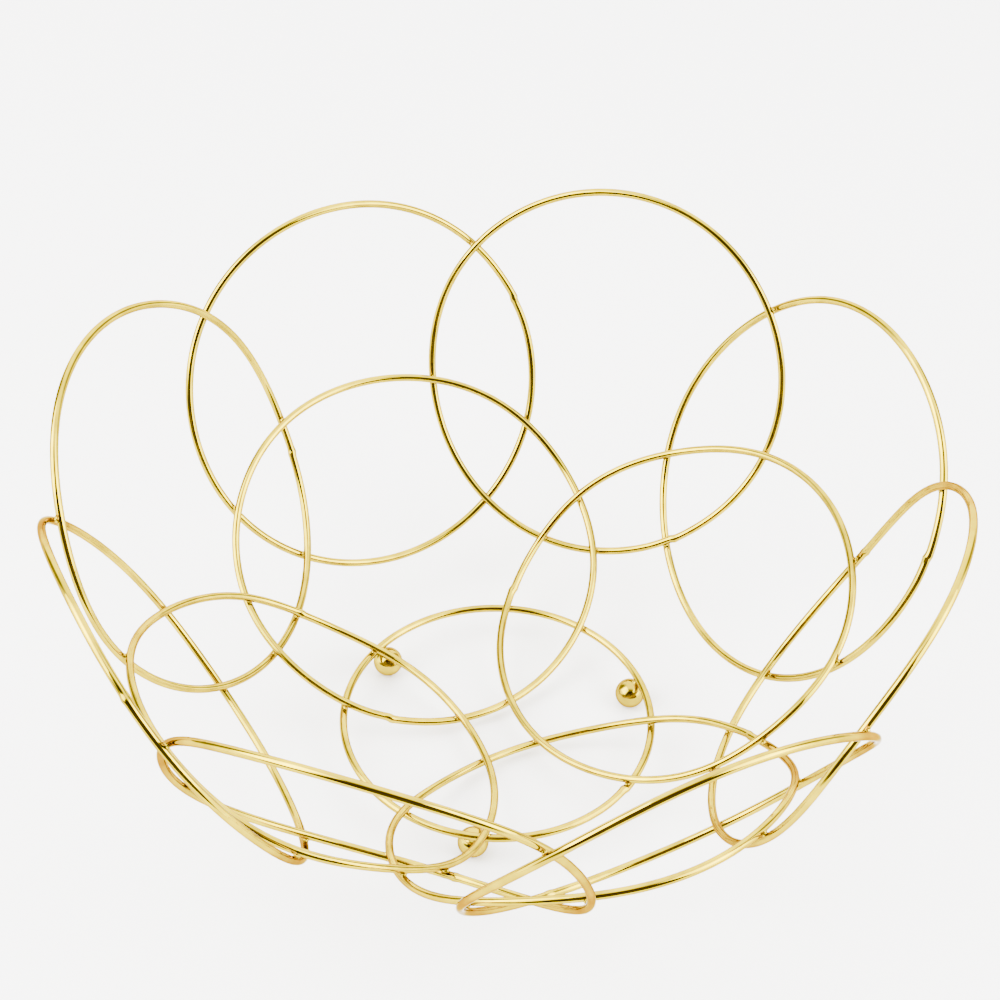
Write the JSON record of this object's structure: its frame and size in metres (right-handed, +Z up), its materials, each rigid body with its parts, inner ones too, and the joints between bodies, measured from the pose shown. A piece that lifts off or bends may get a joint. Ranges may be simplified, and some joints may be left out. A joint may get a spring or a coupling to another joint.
{
  "type": "fruit rack",
  "caption": "Open fruit bowl made of equal interlaced wire rings, welded where they cross, on a base ring with ball feet.",
  "frame": {"origin": "on the bowl's axis, at the level of the table under the ball feet", "axes": "+Z up along the bowl's axis; a crossing of two rim rings faces -Y, towards the viewer of the picture"},
  "size_m": [0.2758, 0.2758, 0.1335],
  "materials": {
    "gold_plated_steel": "polished"
  },
  "bodies": {
    "root": {"base_ring": "gold_plated_steel", "floor_ring_0": "gold_plated_steel", "floor_ring_1": "gold_plated_steel", "floor_ring_2": "gold_plated_steel", "floor_ring_3": "gold_plated_steel", "rim_ring_0": "gold_plated_steel", "rim_ring_1": "gold_plated_steel", "rim_ring_2": "gold_plated_steel", "rim_ring_3": "gold_plated_steel", "rim_ring_4": "gold_plated_steel", "rim_ring_5": "gold_plated_steel", "rim_ring_6": "gold_plated_steel", "rim_ring_7": "gold_plated_steel", "foot_ball_0": "gold_plated_steel", "foot_ball_1": "gold_plated_steel", "foot_ball_2": "gold_plated_steel"}
  },
  "joints": []
}
